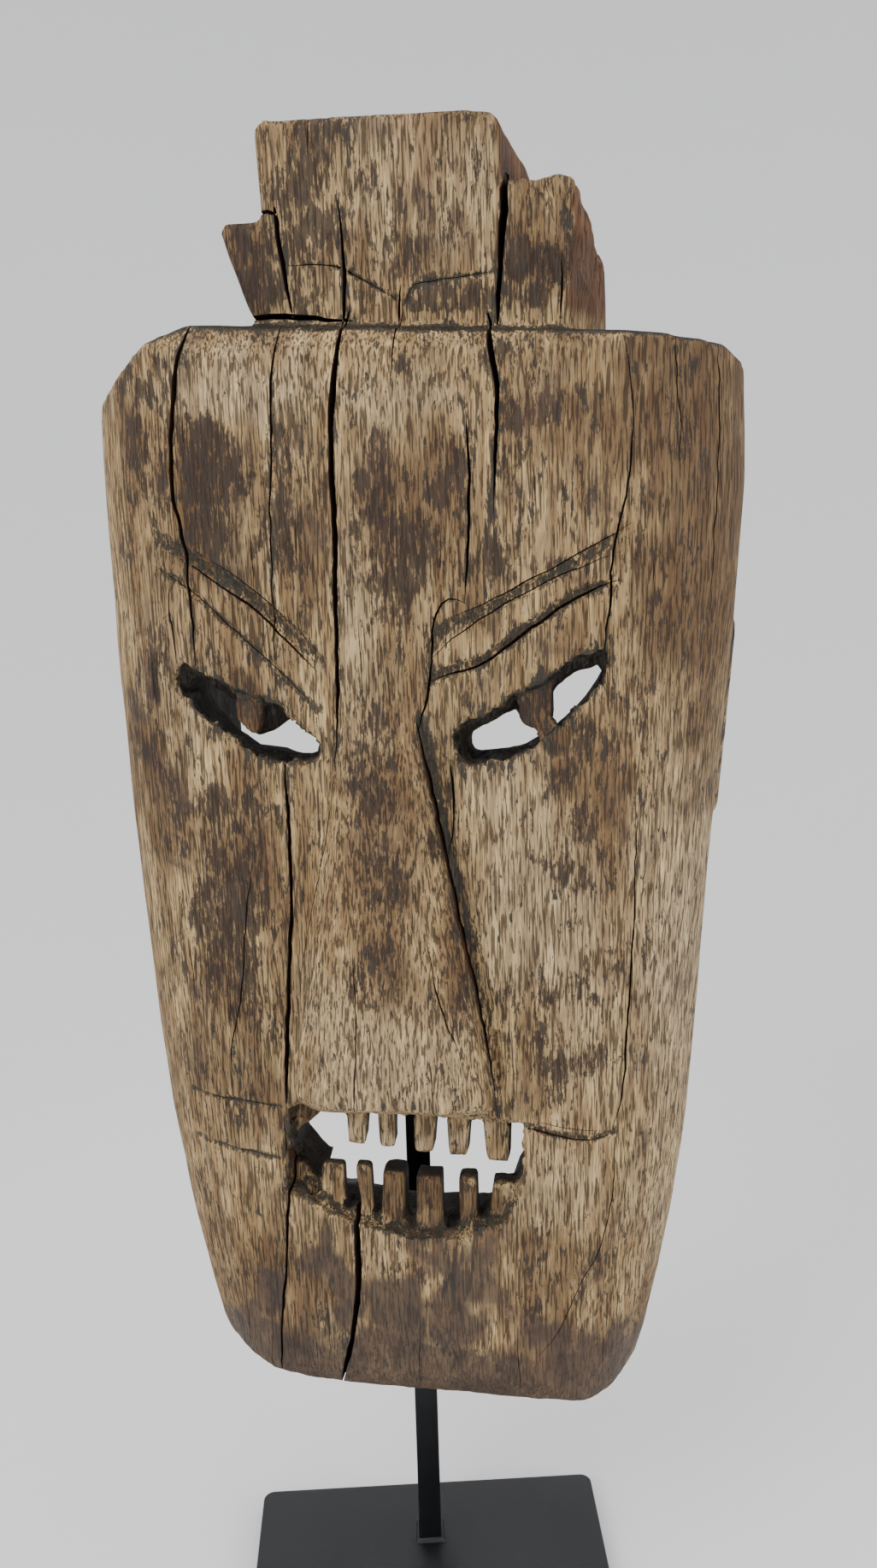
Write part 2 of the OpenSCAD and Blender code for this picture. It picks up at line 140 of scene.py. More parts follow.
COMB_CRACKS = [
    ([(-5.5, 456), (-4.3, 441), (-5, 424)], (0.3, 0.9, 1.2), 8),
    ([(10.3, 434), (9.8, 424)], (0.5, 0.8, 0.8), 4),
    ([(-21.8, 454), (-21.6, 447), (-20.3, 440), (-19.8, 434), (-18.6, 427)], (1.8, 1.1, 0.6), 16),
    ([(-27, 452.9), (-24, 452.8), (-21, 452.2)], (0.9, 1.0, 1.0), 12),
    ([(37.8, 460), (37.2, 450), (36.4, 440), (35.8, 430), (35.3, 423)], (2.0, 1.4, 1.0), 22),
    ([(-33, 427.6), (-20, 427.3), (-12, 426.5), (-7, 425.8), (-2, 425.5)], (1.5, 1.4, 0.4), 18),
    ([(-12, 474), (-12.5, 466)], (0.3, 0.4, 0.2), 2),
    ([(52, 440), (51.5, 424)], (0.3, 0.6, 0.8), 3),
]
FINE_CHECKS = 34              # short hairline checks scattered over the face

# Edges that were burnt clean: the eye slits and the mouth.
BURNT_EDGES = [
    [(25, 310), (23, 316), (24, 319), (36, 325), (40, 329), (46.5, 331), (57, 338.5), (63, 340),
     (63.5, 337.5), (62.5, 333), (58, 327.5), (50.5, 319.5), (41, 312.5), (32.5, 310), (25, 310)],
    [(-52.5, 336.5), (-54, 335), (-54.5, 330.5), (-49.5, 324.5), (-43, 319), (-38, 316), (-35, 313),
     (-30, 311), (-23.5, 309.5), (-15.5, 311), (-15, 314.5), (-23.5, 322), (-26, 325), (-31, 327.5),
     (-38, 329.5), (-47.5, 333.5), (-52.5, 336.5)],
]
MOUTH_EDGE = [(-29, 203), (-31.5, 176.5), (-23.7, 173), (-13.5, 168.6), (-1.8, 165.2),
              (10.8, 163.6), (21.7, 165.8), (34, 170.3), (37.7, 177.5)]
MOUTH_RIM = MOUTH_EDGE + [(40, 190), (41, 202), (20, 203.5), (0, 203.5), (-29, 203)]

# Worn dark patches on the face, and three of painted shade on the nose's right facet (x 20 to 30):
# centre x and z, half width and half height in millimetres, strength.
DARK_PATCHES = [
    (-42, 382, 8, 19, 1.0), (-38, 362, 10, 9, 0.7), (-21, 377, 9, 21, 1.0), (-31, 390, 8, 8, 0.4),
    (-60, 391, 9, 10, 0.6), (-40, 298, 18, 11, 0.8),
    (4, 386, 7, 16, 1.0), (13, 371, 9, 16, 1.0), (24, 388, 8, 10, 1.0), (7, 356, 9, 12, 0.9),
    (46, 405, 13, 8, 0.9), (40, 384, 10, 10, 0.6), (35, 364, 9, 9, 0.8), (48, 360, 9, 5, 0.5),
    (32, 418, 17, 3, 0.9), (14, 419, 12, 3, 0.6), (-58, 412, 11, 9, 1.0), (-64, 400, 6, 12, 0.8),
    (1, 305, 10, 20, 0.7), (4, 278, 9, 14, 0.6), (-2, 252, 8, 13, 0.6), (18, 216, 9, 6, 0.5),
    (-36, 290, 9, 20, 0.75), (-44, 258, 13, 32, 0.95), (-36, 236, 9, 16, 0.7), (-58, 240, 8, 14, 0.5),
    (52, 292, 7, 16, 0.8), (60, 286, 4, 10, 0.5), (56, 222, 9, 12, 0.7), (62, 250, 7, 12, 0.4),
    (42, 210, 7, 8, 0.5), (-42, 200, 12, 8, 0.4), (-24, 338, 9, 6, 0.35), (30, 330, 10, 5, 0.3),
    (-30, 152, 14, 9, 0.5), (14, 150, 16, 10, 0.6), (40, 142, 12, 9, 0.5), (60, 160, 8, 10, 0.3),
    (-15, 290, 5, 12, 0.3), (80, 396, 12, 16, 0.5), (84, 360, 8, 18, 0.3), (-60, 300, 8, 20, 0.35),
    (-50, 388, 6, 24, 0.5), (-12, 366, 4, 20, 0.3), (60, 388, 8, 20, 0.3), (-66, 350, 6, 24, 0.4),
    (-60, 210, 8, 20, 0.4), (2, 330, 6, 14, 0.4), (-48, 300, 7, 14, 0.5), (64, 315, 8, 10, 0.3),
    (44, 240, 14, 16, 0.3), (-60, 170, 8, 12, 0.4), (6, 183.5, 34, 3.2, 0.9), (-66, 330, 7, 30, 0.5),
    (8, 168, 30, 3, 0.5), (45, 322, 6, 11, 0.9), (-35, 321, 6, 10, 0.8),
    # The first three patches below lie on the nose's right facet and are painted shade.
    (20, 290, 4.5, 28, 0.7), (25, 258, 4.5, 28, 0.7), (30, 226, 4, 20, 0.5), (74, 330, 6, 40, 0.4),
]
# Patches on the comb, in the same form.
COMB_PATCHES = [
    (-18, 462, 9, 9, 0.8), (-12, 444, 9, 8, 0.6), (-30, 436, 8, 9, 0.6), (46, 438, 9, 10, 0.8),
    (12, 441, 9, 6, 0.5), (-8, 470, 10, 4, 0.4), (24, 428, 14, 4, 0.6), (-16, 431, 8, 4, 0.5),
]
# Places where old brown finish is left. The long patch on the nose's right facet, at x 24, is painted
# shade.
BROWN_PATCHES = [
    (90, 380, 22, 62, 1.0), (76, 400, 16, 30, 0.8), (78, 418, 24, 8, 0.8), (92, 300, 12, 40, 0.6),
    (-66, 395, 8, 20, 0.5),
    (-62, 300, 14, 50, 0.35), (50, 400, 22, 18, 0.45), (0, 290, 16, 50, 0.5), (0, 376, 40, 22, 0.35),
    (-40, 372, 20, 22, 0.5), (-42, 255, 20, 50, 0.4), (-40, 140, 24, 30, 0.5),
    (50, 140, 30, 30, 0.5), (46, 444, 12, 20, 0.7), (-30, 440, 12, 14, 0.4), (8, 438, 30, 10, 0.35),
    (-35, 322, 7, 10, 1.0), (44.6, 322, 7, 10, 1.0), (8, 176, 36, 8, 0.8), (-22, 196, 12, 9, 0.8),
    # The first patch below, on the nose's right facet, is painted shade.
    (24, 270, 5, 60, 0.45), (-30, 322, 26, 12, 0.4), (44, 306, 24, 8, 0.35), (-36, 230, 18, 60, 0.35),
]
# Polished brown film that is left on the chin.
FILM_PATCHES = [
    (-42, 137, 7, 9, 1.0), (-44, 116, 16, 15, 1.0), (-16, 138, 5, 17, 1.0), (-21, 154, 6, 10, 0.8),
    (-26, 110, 16, 12, 1.0), (-4, 118, 17, 22, 1.1), (19, 134, 9, 16, 1.0), (12, 157, 9, 9, 0.7),
    (26, 150, 10, 13, 0.8), (20, 112, 26, 18, 1.1), (42, 112, 22, 15, 1.0), (62, 118, 18, 14, 0.9),
    (-3, 140, 9, 10, 0.8), (8, 132, 10, 9, 0.7), (10, 100, 80, 14, 1.0), (52, 128, 16, 9, 0.8),
]
# Bleached places, rubbed nearly bare. The two on the right side, at x 86 and 88, are painted light on
# the side lit from the right.
PALE_PATCHES = [
    (-30, 409, 26, 9, 0.9), (8, 407, 20, 8, 0.7), (4, 225, 26, 22, 0.8), (-14, 240, 10, 20, 0.5),
    # (88, 250) below, and (86, 160) further down, are painted light on the right side.
    (46, 268, 18, 30, 0.8), (58, 232, 12, 30, 0.5), (88, 250, 18, 72, 1.0), (-2, 340, 6, 40, 0.5),
    (34, 300, 10, 12, 0.7), (-5, 160, 9, 8, 0.4), (26, 452, 16, 16, 0.5), (5, 462, 14, 14, 0.4),
    (-54, 325, 9, 30, 0.4), (8, 196, 34, 6, 0.9), (50, 180, 14, 16, 0.5), (86, 160, 14, 40, 0.7),
]

# Colours of the wood
TAN = (0.31, 0.192, 0.085)
STRAW = (0.68, 0.49, 0.245)
BARK = (0.070, 0.038, 0.019)
# Bleached wood, also used as painted light on the right side.
BLEACHED_AND_LIT = (0.64, 0.51, 0.32)
# Old brown finish, also painted shade on the nose's right facet.
OLD_FINISH_AND_SHADE = (0.105, 0.056, 0.027)
RUSSET = (0.100, 0.034, 0.016)
# Patina, also used as painted shade on the nose's right facet.
PATINA_AND_SHADE = (0.032, 0.020, 0.0145)
PORE = (0.030, 0.017, 0.011)
FILM_DARK = (0.034, 0.0235, 0.0205)
FILM_LIGHT = (0.088, 0.054, 0.036)
# Painted shade: black in the hollow, the eye slits and the mouth.
HOLLOW_SHADE_BLACK = (0.005, 0.0033, 0.0027)
# Soot and char, also used as painted shade down the nose groove and at the foot of the comb.
SMOKE_AND_SHADE = (0.040, 0.036, 0.028)
CHAR_AND_SHADE = (0.009, 0.008, 0.007)
CRACK_DARK = (0.035, 0.017, 0.010)
CRACK_LIGHT = (0.085, 0.038, 0.020)
CRACK_DUST = (0.012, 0.007, 0.005)

# ---------------------------------------------------------------- small sums


def ease(t):
    """0 below 0, 1 above 1 and a soft S between, for numbers and arrays."""
    t = np.clip(t, 0.0, 1.0)
    return t * t * (3 - 2 * t)


def line_distance(px, pz, points):
    """Distance in the face plane from each point to a line through points, and how far along it is."""
    best = np.full(px.shape, 1e9)
    share = np.zeros(px.shape)
    steps = len(points) - 1
    for k in range(steps):
        ax, az = points[k]
        bx, bz = points[k + 1]
        dx, dz = bx - ax, bz - az
        t = np.clip(((px - ax) * dx + (pz - az) * dz) / (dx * dx + dz * dz), 0, 1)
        d = np.hypot(px - ax - t * dx, pz - az - t * dz)
        nearer = d < best
        best = np.where(nearer, d, best)
        share = np.where(nearer, (k + t) / steps, share)
    return best, share


def edge_distance(px, pz, edges):
    """Distance in the face plane from each point to the nearest of several lines."""
    return np.min([line_distance(px, pz, edge)[0] for edge in edges], axis=0)


def blotches(px, pz, patches):
    """The strongest of several soft round patches at each point."""
    out = np.zeros(px.shape)
    for cx, cz, rx, rz, strength in patches:
        reach = np.hypot((px - cx) / rx, (pz - cz) / rz)
        out = np.maximum(out, strength * (1 - ease((reach - 0.35) / 1.05)))
    return out


def field(points, cell, offset=0.0):
    """Perlin noise from -1 to 1 at points in millimetres, with a cell size for each direction.

    Another offset gives another pattern.
    """
    sx, sy, sz = (1.0 / c for c in cell)
    return np.array([noise.noise((x * sx + offset, y * sy, z * sz)) for x, y, z in points])


def smooth_path(points, spacing):
    """Points along a curve that runs softly through the given ones (Catmull-Rom)."""
    p = [np.array(q, float) for q in points]
    p = [2 * p[0] - p[1]] + p + [2 * p[-1] - p[-2]]
    out = []
    for k in range(1, len(p) - 2):
        steps = max(2, int(np.linalg.norm(p[k + 1] - p[k]) / spacing))
        for i in range(steps):
            t = i / steps
            out.append(0.5 * (2 * p[k] + (p[k + 1] - p[k - 1]) * t
                              + (2 * p[k - 1] - 5 * p[k] + 4 * p[k + 1] - p[k + 2]) * t * t
                              + (3 * p[k] - p[k - 1] - 3 * p[k + 1] + p[k + 2]) * t ** 3))
    out.append(p[-2])
    return out


# ---------------------------------------------------------------- meshes


def new_piece(name, bm):
    """A linked object at the origin that holds the bmesh, which is freed."""
    mesh = bpy.data.meshes.new(name)
    bm.to_mesh(mesh)
    bm.free()
    piece = bpy.data.objects.new(name, mesh)
    bpy.context.scene.collection.objects.link(piece)
    return piece


def apply_modifiers(piece):
    """Makes the piece's modifiers part of its mesh."""
    bpy.context.view_layer.update()
    shaped = piece.evaluated_get(bpy.context.evaluated_depsgraph_get())
    mesh = bpy.data.meshes.new_from_object(shaped)
    piece.modifiers.clear()
    old = piece.data
    piece.data = mesh
    mesh.name = piece.name
    bpy.data.meshes.remove(old)


def copy_of(node):
    """A bmesh copy of a CAD node with its loose triangles joined up."""
    bm = bmesh.new()
    bm.from_mesh(NODES[node].data)
    bmesh.ops.remove_doubles(bm, verts=bm.verts, dist=1e-6)
    return bm


def points_of(mesh):
    """The mesh's points as rows of x, y, z in metres."""
    co = np.zeros(len(mesh.vertices) * 3)
    mesh.vertices.foreach_get("co", co)
    return co.reshape(-1, 3)


def normals_of(mesh):
    """The direction that each point of the mesh faces."""
    n = np.zeros(len(mesh.vertices) * 3)
    mesh.vertices.foreach_get("normal", n)
    return n.reshape(-1, 3)


def set_points(mesh, co):
    mesh.vertices.foreach_set("co", co.astype(np.float32).ravel())
    mesh.update()


# ---------------------------------------------------------------- the mask


def rough_out():
    """The CAD block, remeshed finely and with its edges worn round. The teeth wear least."""
    mask = new_piece("carved_mask", copy_of("mask"))
    remesh = mask.modifiers.new("grid", "REMESH")
    remesh.mode = "VOXEL"
    remesh.voxel_size = CARVING_GRID
    apply_modifiers(mask)
    co = points_of(mask.data) / MM
    x, y, z = co.T
    in_mouth = (np.abs(x - 5) < 38) & (z > 162) & (z < 204) & (y > -49) & (y < -30)
    in_eye = (z > 310) & (z < 332) & (y > -50) & (y < -32)
    in_eye &= np.abs(np.abs(x - EYES_MIDDLE) - PEG_SPREAD) < 8
    fine = in_mouth | in_eye
    group = mask.vertex_groups.new(name="soft")
    group.add(np.flatnonzero(~fine).tolist(), 1.0, "REPLACE")
    group.add(np.flatnonzero(fine).tolist(), TOOTH_WEAR, "REPLACE")
    worn = mask.modifiers.new("worn", "SMOOTH")
    worn.factor = 0.5
    worn.iterations = EDGE_WEAR
    worn.vertex_group = "soft"
    apply_modifiers(mask)
    return mask


def carve(mask):
    """Tool marks, raised grain and the cut lines, pushed into the surface."""
    mesh = mask.data
    co = points_of(mesh)
    n = normals_of(mesh)
    p = co / MM
    x, y, z = p.T
    front = ease((-n[:, 1] - 0.25) / 0.5) * ease((-y - 18) / 10)
    outside = ease((np.abs(n[:, 0]) + np.abs(n[:, 1]) - 0.3) / 0.4)
    hollow = ease((n[:, 1] - 0.1) / 0.3)
    # Adze strokes run down the grain; the hollow keeps deeper ones.
    strokes = field(p, (17, 17, 42)) * 0.5 + field(p, (7, 7, 20), 9) * 0.22
    raised = field(p, (1.9, 1.9, 34), 3) * 0.16 + field(p, (3.8, 3.8, 60), 5) * 0.16
    gouges = np.abs(field(p, (9, 9, 16), 21)) * 1.3 * hollow
    lift = strokes + raised * outside - gouges
    pits = field(p, (2.4, 2.4, 2.8), 31)
    lift -= 0.25 * ease((pits - 0.45) / 0.25) * (1 - outside)
    sink = np.zeros(len(p))
    for points, half, deep in BROW_CUTS + CHEEK_CUTS + COMB_CUTS + [NOSE_GROOVE]:
        d, share = line_distance(x, z, points)
        fade = ease(share * 7 + 0.25) * ease((1 - share) * 7 + 0.25)
        wobble = 1 + 0.35 * field(p, (2.6, 50, 2.6), 13)
        sink = np.maximum(sink, deep * fade * wobble * (1 - ease(d / half)))
    co = co + n * (lift * MM)[:, None]
    co[:, 1] += sink * front * MM
    # The burnt and broken edges of the eyes and the mouth are ragged.
    rim = edge_distance(x, z, [MOUTH_RIM] + BURNT_EDGES)
    torn = (1 - ease((rim - 1.2) / 3)) * ease((-y - 34) / 6)
    co[:, 0] += torn * (1.5 * field(p, (2.9, 5, 2.9), 81) + 0.8 * field(p, (1.4, 3, 1.4), 85)) * MM
    co[:, 2] += torn * (1.5 * field(p, (2.9, 5, 2.9), 83) + 0.8 * field(p, (1.4, 3, 1.4), 87)) * MM
    # The comb's right-hand side is chipped and splintered.
    chipped = ease((z - 430) / 4) * ease((x - 38) / 8) * ease((-y - 2) / 4)
    co += n * (chipped * 2.2 * (np.abs(field(p, (4, 9, 11), 91)) - 0.35) * MM)[:, None]
    co -= n * (0.7 * torn ** 2 * (np.abs(n[:, 1]) < 0.6) * MM)[:, None]
    set_points(mesh, co)


def thin_hollow(mask):
    """Fewer triangles in the hollow and on the back, where nothing fine is carved."""
    mesh = mask.data
    n = normals_of(mesh)
    x, y, z = (points_of(mesh) / MM).T
    back = (n[:, 1] > -0.15) & (y > -46) & ~((z < 206) & (z > 160) & (y < -28))
    back |= y > 2
    group = mask.vertex_groups.new(name="thin")
    group.add(np.flatnonzero(back).tolist(), 1.0, "REPLACE")
    triangles = sum(len(f.vertices) - 2 for f in mesh.polygons)
    thin = mask.modifiers.new("thin", "DECIMATE")
    thin.vertex_group = "thin"
    thin.ratio = min(1.0, TRIANGLES_KEPT / triangles)
    apply_modifiers(mask)
    mask.vertex_groups.clear()


def crack_blade(bm, tree, points, widths, deep, seed):
    """A thin wedge that follows a crack. It starts in front of the wood and narrows into it."""
    path = smooth_path(points, BLADE_STEP)
    count = len(path) - 1
    face = None
    for k, (x, z) in enumerate(path):
        t = k / count
        wide = np.interp(t, (0, 0.5, 1), widths)
        wide *= 1 + 0.35 * noise.noise((seed * 7.1, k * 0.45, 1.7))
        along = path[min(k + 1, count)] - path[max(k - 1, 0)]
        along /= np.linalg.norm(along)
        ax, az = along[1], -along[0]
        sway = 0.45 * noise.noise((seed * 3.3, k * 0.6, 0.4)) + 0.3 * noise.noise((seed, k * 1.7, 2))
        x, z = x + ax * sway, z + az * sway
        closing = min(1.0, 0.25 + 5 * min(t, 1 - t))
        hit = tree.ray_cast(Vector((x * MM, RAY_START, z * MM)), Vector((0, 1, 0)))[0]
        top = hit.y / MM if hit else FACE + 6
        sole = top + deep * closing
        half = wide / 2 * min(1.0, 0.4 + 4 * min(t, 1 - t))
        lead = top - BLADE_LEAD
        ring = [(-half * 1.15, lead), (half * 1.15, lead), (half * 0.35, sole), (-half * 0.35, sole)]
        ring = [Vector((x + ax * r, y, z + az * r)) * MM for r, y in ring]
        if face is None:
            face = bm.faces.new([bm.verts.new(v) for v in ring])
            continue
        grown = bmesh.ops.extrude_face_region(bm, geom=[face])["geom"]
        if k > 1:
            bmesh.ops.delete(bm, geom=[face], context="FACES_ONLY")
        face = next(g for g in grown if isinstance(g, bmesh.types.BMFace))
        for v, place in zip(face.verts, ring):
            v.co = place


def open_cracks(mask, cracks, name, material):
    """Saws a list of cracks out of the mask. Their walls take the raw wood's material."""
    tree = BVHTree.FromObject(mask, bpy.context.evaluated_depsgraph_get())
    bm = bmesh.new()
    for k, (points, widths, deep) in enumerate(cracks):
        crack_blade(bm, tree, points, widths, deep, k + 1)
    bmesh.ops.recalc_face_normals(bm, faces=bm.faces)
    blades = new_piece(name, bm)
    blades.data.materials.append(material)
    cut = mask.modifiers.new("cut", "BOOLEAN")
    cut.operation = "DIFFERENCE"
    cut.solver = "MANIFOLD"
    cut.material_mode = "TRANSFER"
    cut.object = blades
    apply_modifiers(mask)
    bpy.data.objects.remove(blades)


def hairline_checks():
    """Short hairline checks down the grain, scattered clear of the eyes, the nose and the mouth."""
    dice = random.Random(11)
    checks = []
    while len(checks) < FINE_CHECKS:
        x = dice.uniform(-62, 82)
        z = dice.uniform(125, 408)
        clear = not (-60 < x < 70 and 305 < z < 345) and not (-36 < x < 44 and 160 < z < 320)
        apart = all(abs(x - q[0][0][0]) > 4 or abs(z - q[0][0][1]) > 45 for q in checks)
        if not (clear and apart):
            continue
        long = dice.uniform(9, 30)
        lean = dice.uniform(-1.0, 1.0)
        wide = dice.uniform(0.22, 0.42)
        checks.append(([(x, z), (x + lean * 0.6, z - long / 2), (x + lean, z - long)],
                       (wide * 0.6, wide, wide * 0.4), dice.uniform(1.2, 2.2)))
    return checks


def soot_and_shade_marks(p, ragged, near_eye):
    """Soot in the brow cuts and the cracks, round the eyes and the mouth, and on the right ear, with
    painted shade down the nose groove. The cuts beside the mouth and on the comb are darkened too.
    """
    x, y, z = p.T
    soot_and_shade = np.zeros(len(p))
    for points, half, _ in BROW_CUTS:
        d, share = line_distance(x, z, points)
        line = (1 - ease((d - half * 0.25) / (half * 1.3))) * ease(share * 6 + 0.3)
        soot_and_shade = np.maximum(soot_and_shade, (0.62 + 0.24 * ragged) * line)
    for points, half, _ in CHEEK_CUTS + COMB_CUTS:
        d = line_distance(x, z, points)[0]
        soot_and_shade = np.maximum(soot_and_shade, 0.7 * (1 - ease((d - half * 0.2) / (half * 1.2))))
    # Painted shade down the groove beside the nose, darkest at its top.
    d, share = line_distance(x, z, NOSE_GROOVE[0])
    soot_and_shade = np.maximum(soot_and_shade, (0.95 - 0.75 * share) * (1 - ease((d - 0.6) / 2.6)))
    for points, widths, _ in CRACKS + COMB_CRACKS + KNIFE_LINES:
        widest = max(widths)
        d = line_distance(x, z, points)[0]
        soot_and_shade = np.maximum(soot_and_shade, 0.5 * min(1, widest) ** 2 * (1 - ease((d - widest * 0.3) / 0.9)))
    soot_and_shade = np.maximum(soot_and_shade, 1.4 * (1 - ease((near_eye - 0.2 - 1.2 * ragged) / 0.8)))
    soot_and_shade = np.maximum(soot_and_shade, 0.3 * (1 - ease((near_eye - 1.5) / 4)))
    # The right ear is dark along its front edge, most of all at its top and low down.
    ear = ease((x - 90) / 2) * ease((z - 282) / 9) * ease((346 - z) / 3)
    marks = np.maximum(ease((z - 330) / 9), 1 - ease((np.abs(z - 306) - 3) / 9))
    front_edge = 1 - ease((np.abs(y + 10.5) - 1) / 2.5)
    soot_and_shade = np.maximum(soot_and_shade, ear * (0.35 + 0.65 * marks) * front_edge)
    near_mouth = line_distance(x, z, MOUTH_EDGE)[0]
    return np.maximum(soot_and_shade, 0.75 * (1 - ease((near_mouth - 0.2 - 1.0 * ragged) / 1.5)))


def inside_shade_marks(p, n, facing, near_eye):
    """The hollow and everything deep in the eye slits and the mouth, painted black as shade."""
    x, y, z = p.T
    to_x = HOLLOW_AXIS[0] - x
    to_y = HOLLOW_AXIS[1] - y
    inward = (n[:, 0] * to_x + n[:, 1] * to_y) / (np.hypot(to_x, to_y) + 1)
    inside_shade = ease((inward - 0.1) / 0.25) * ease((y + 47) / 3) * (z < 410)
    in_slit = (near_eye < 9) & (y < -20)
    in_mouth = (z < 205) & (z > 150) & (np.abs(x - 4) < 38) & (y < -5)
    cut = in_slit | in_mouth
    deep = np.where(near_eye < 9, ease((y + 49.7) / 1.1), ease((y + 47.2) / 2))
    inside_shade = np.maximum(inside_shade, cut * deep * (1 - facing))
    inside_shade = np.maximum(inside_shade, cut * ease((y + 47.9) / 1.2) * (near_eye < 12))
    return np.maximum(inside_shade, cut * ease((y + 44) / 3))


def stain_and_shade(mask):
    """Stores where the wood is dark, pale, filmed, brown, sooty, russet or painted black inside, for
    its material. Parts of the dark, pale, brown and sooty values are painted light and shade.
    """
    mesh = mask.data
    n = normals_of(mesh)
    p = points_of(mesh) / MM
    x, y, z = p.T
    facing = ease((-n[:, 1] - 0.05) / 0.5)
    on_comb = z > COMB_FOOT
    # Patches wander, so that none keeps a plain round edge.
    wx = x + 5.5 * field(p, (13, 40, 15), 41) + 3.0 * field(p, (5, 20, 7), 43)
    wz = z + 10.0 * field(p, (13, 40, 19), 51) + 5.0 * field(p, (4.5, 20, 9), 53)
    dark = np.where(on_comb, blotches(wx, wz, COMB_PATCHES), blotches(wx, wz, DARK_PATCHES))
    drift = field(p, (24, 40, 30), 61)
    drift = drift + 0.8 * field(p, (9, 30, 14), 63)
    drift = drift + 0.7 * field(p, (4, 16, 8), 65)
    dark = np.minimum(dark + 0.42 * drift, 0.88)
    film = blotches(x + 1.3 * (wx - x), z + 0.9 * (wz - z), FILM_PATCHES)
    dark = np.where(on_comb, dark + 0.38, dark) * (1 - 0.8 * np.clip(film, 0, 1))
    ragged = field(p, (2.2, 9, 2.6), 71)
    near_eye = edge_distance(x, z, BURNT_EDGES)
    soot_and_shade = soot_and_shade_marks(p, ragged, near_eye)
    inside_shade = inside_shade_marks(p, n, facing, near_eye)
    # The comb's side facing +x is painted dark red-brown: partly its own reddish colour, partly painted
    # shade on the side turned from the key light.
    russet = ease((n[:, 0] - 0.45) / 0.3) * ease((z - 424) / 4)
    # Dirt lies on the crown; the dark line round the foot of the comb is painted shade in that corner.
    crown = ease((n[:, 2] - 0.45) / 0.3) * ease((z - 408) / 6)
    soot_and_shade = np.maximum(soot_and_shade, crown * ease((430 - z) / 3) * ease((z - 404) / 4))
    dark = np.maximum(dark, 0.4 * crown)
    facing = np.maximum(facing, crown)
    dark = dark * (0.35 + 0.65 * facing) * (1 - 0.7 * russet)
    # Past x 70 the pale patches reach the whole side, where two of them are painted light.
    pale = blotches(wx, wz, PALE_PATCHES) * np.where(x > 70, 1.0, facing)
    brown = blotches(wx, wz, BROWN_PATCHES)
    values = {"dark": dark, "pale": pale, "film": film, "brown": brown,
              "soot_and_shade": soot_and_shade, "russet": russet, "inside_shade": inside_shade}
    for name, v in values.items():
        layer = mesh.attributes.new(name, "FLOAT", "POINT")
        layer.data.foreach_set("value", np.clip(v, -0.4, 1).astype(np.float32))


def carve_mask(wood, raw_wood):
    """The whole mask: worn, carved, thinned at the back, cracked, stained, and painted with light and
    shade.
    """
    mask = rough_out()
    carve(mask)
    thin_hollow(mask)
    mask.data.materials.clear()
    mask.data.materials.append(wood)
    mask.data.materials.append(raw_wood)
    open_cracks(mask, CRACKS[0::2], "saw_a", raw_wood)
    open_cracks(mask, CRACKS[1::2], "saw_b", raw_wood)
    open_cracks(mask, COMB_CRACKS, "saw_c", raw_wood)
    open_cracks(mask, KNIFE_LINES, "knife", raw_wood)
    open_cracks(mask, hairline_checks(), "saw_d", raw_wood)
    stain_and_shade(mask)
    mask.data.shade_smooth()
    mask.data.set_sharp_from_angle(angle=math.radians(42))
    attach(mask, "mask")
    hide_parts("mask")


# ---------------------------------------------------------------- the stand


def softened(node, body, material, edge, segments=3):
    """A CAD node remade with its sharp edges rounded off."""
    bm = copy_of(node)
    bmesh.ops.dissolve_limit(bm, angle_limit=math.radians(0.5), verts=bm.verts, edges=bm.edges)
    sharp = [e for e in bm.edges if e.is_manifold and e.calc_face_angle(0) > math.radians(35)]
    bmesh.ops.bevel(bm, geom=sharp, offset=edge, offset_type="OFFSET", affect="EDGES",
                    segments=segments, profile=0.5, material=-1)
    piece = new_piece(node + "_piece", bm)
    piece.data.materials.clear()
    piece.data.materials.append(material)
    piece.data.shade_smooth()
    piece.data.set_sharp_from_angle(angle=math.radians(40))
    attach(piece, body)
    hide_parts(node)


# ---------------------------------------------------------------- shader parts


def wire(tree, source, target):
    tree.links.new(source, target)


def add(tree, kind, **settings):
    """A new node with its settings."""
    node = tree.nodes.new(kind)
    for key, value in settings.items():
        setattr(node, key, value)
    return node


def feed(tree, socket, value):
    """Gives a socket a plain number, a plain colour or another socket's value."""
    if isinstance(value, tuple):
        socket.default_value = (*value, 1)
    elif isinstance(value, (int, float)):
        socket.default_value = value
    else:
        wire(tree, value, socket)


def maths(tree, operation, a, b):
    """A Math node fed by sockets or plain numbers; gives its output."""
    node = add(tree, "ShaderNodeMath", operation=operation)
    feed(tree, node.inputs[0], a)
    feed(tree, node.inputs[1], b)
    return node.outputs[0]


def scaled(tree, value, amount):
    """A value times a plain number."""
    return maths(tree, "MULTIPLY", value, amount)


def soft_step(tree, value, low, high):
    """0 where value is under low, 1 over high."""
    node = add(tree, "ShaderNodeMapRange", interpolation_type="SMOOTHSTEP")
    wire(tree, value, node.inputs["Value"])
    node.inputs["From Min"].default_value = low
    node.inputs["From Max"].default_value = high
    return node.outputs["Result"]


def blend_colour(tree, factor, under, over):
    """Mixes two colours; each may be a socket or a plain colour."""
    node = add(tree, "ShaderNodeMix", data_type="RGBA", clamp_factor=True)
    feed(tree, node.inputs[0], factor)
    feed(tree, node.inputs[6], under)
    feed(tree, node.inputs[7], over)
    return node.outputs[2]


